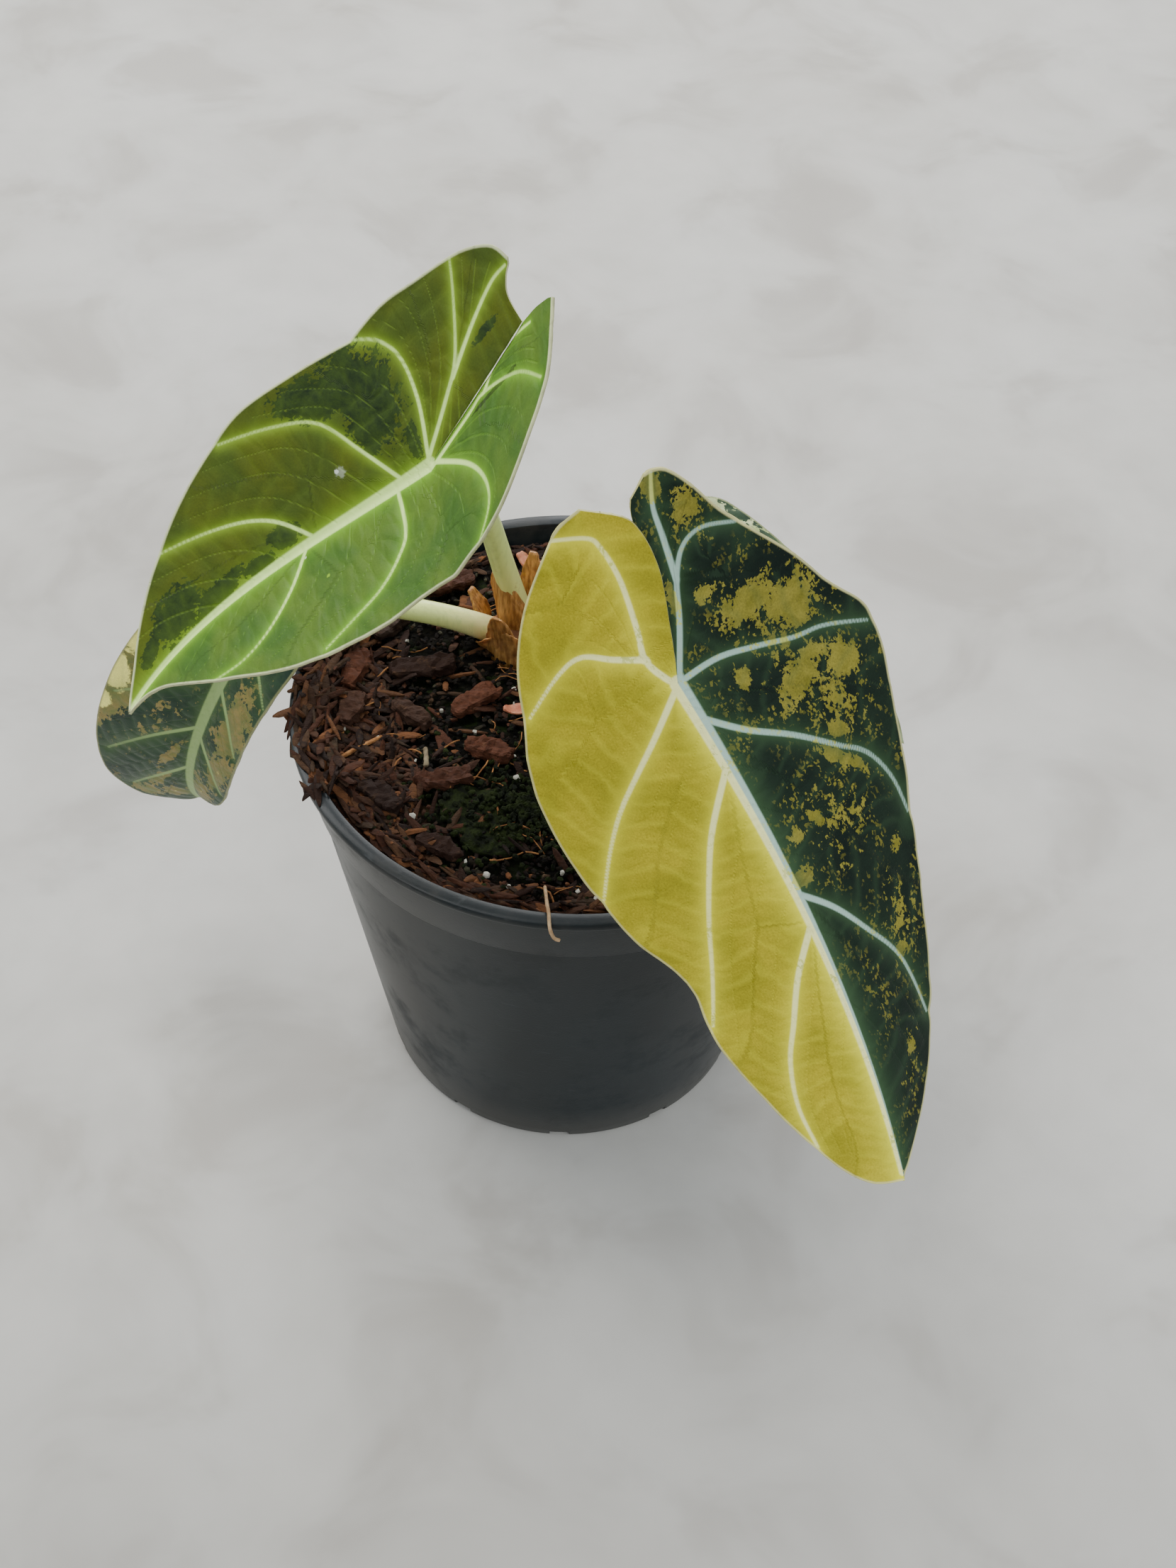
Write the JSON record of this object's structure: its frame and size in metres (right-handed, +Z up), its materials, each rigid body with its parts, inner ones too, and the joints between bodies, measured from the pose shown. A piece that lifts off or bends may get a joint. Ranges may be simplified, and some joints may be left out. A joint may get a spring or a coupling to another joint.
{
  "type": "potted alocasia",
  "caption": "Young variegated alocasia with arrow-shaped leaves on arching stalks, growing in a round tapered nursery pot of dark plastic filled with bark and coir.",
  "frame": {"origin": "centre of the pot's underside, on the face that it stands on", "axes": "+Z up along the pot's axis, -Y towards the side that the leaves hang over, +X to the right of that side"},
  "size_m": [0.1783, 0.1679, 0.2123],
  "materials": {
    "pot_plastic": "satin injection-moulded black plastic",
    "medium": "loose dark coir and peat",
    "rhizome": "brown corky skin",
    "blade_a": "soft-sheen green leaf with pale veins",
    "blade_b": "velvety half gold, half dark green leaf",
    "blade_c": "dark green leaf with cream and tan patches",
    "blade_d": "dark green leaf with pale glossy mottling",
    "petiole_a": "smooth pale yellow-green stalk",
    "petiole_b": "smooth pale yellow-green stalk",
    "petiole_c": "smooth pale green stalk",
    "petiole_d": "smooth pale yellow-green stalk",
    "papery_sheath": "dry orange-brown papery skin",
    "bark": "rough reddish bark chip",
    "perlite": "rough white mineral grain",
    "dry_flake": "dry pinkish-tan flake",
    "moss": "low green moss and algae",
    "root_fibre": "pale dry fibre",
    "coir": "tan coconut fibre",
    "twig": "grey dry twig"
  },
  "bodies": {
    "root": {"bark_chip_01": "bark", "bark_chip_02": "bark", "bark_chip_03": "bark", "bark_chip_04": "bark", "bark_chip_05": "bark", "bark_chip_06": "bark", "bark_chip_07": "bark", "bark_chip_08": "bark", "bark_chip_09": "bark", "bark_chip_10": "bark", "bark_chip_11": "bark", "bark_chip_12": "bark", "bark_chip_13": "bark", "bark_chip_14": "bark", "bark_chip_15": "bark", "blade_a": "blade_a", "blade_b": "blade_b", "blade_c": "blade_c", "blade_d": "blade_d", "coir_strand": "coir", "dry_flake_1": "dry_flake", "dry_flake_2": "dry_flake", "fibre_over_rim": "root_fibre", "grey_stick": "twig", "moss_patch": "moss", "perlite_1": "perlite", "perlite_2": "perlite", "perlite_3": "perlite", "perlite_4": "perlite", "perlite_5": "perlite", "perlite_6": "perlite", "perlite_7": "perlite", "perlite_8": "perlite", "petiole_a": "petiole_a", "petiole_b": "petiole_b", "petiole_c": "petiole_c", "petiole_d": "petiole_d", "pot": "pot_plastic", "rhizome": "rhizome", "sheath_1": "papery_sheath", "sheath_2": "papery_sheath", "sheath_3": "papery_sheath", "substrate": "medium"}
  },
  "joints": []
}
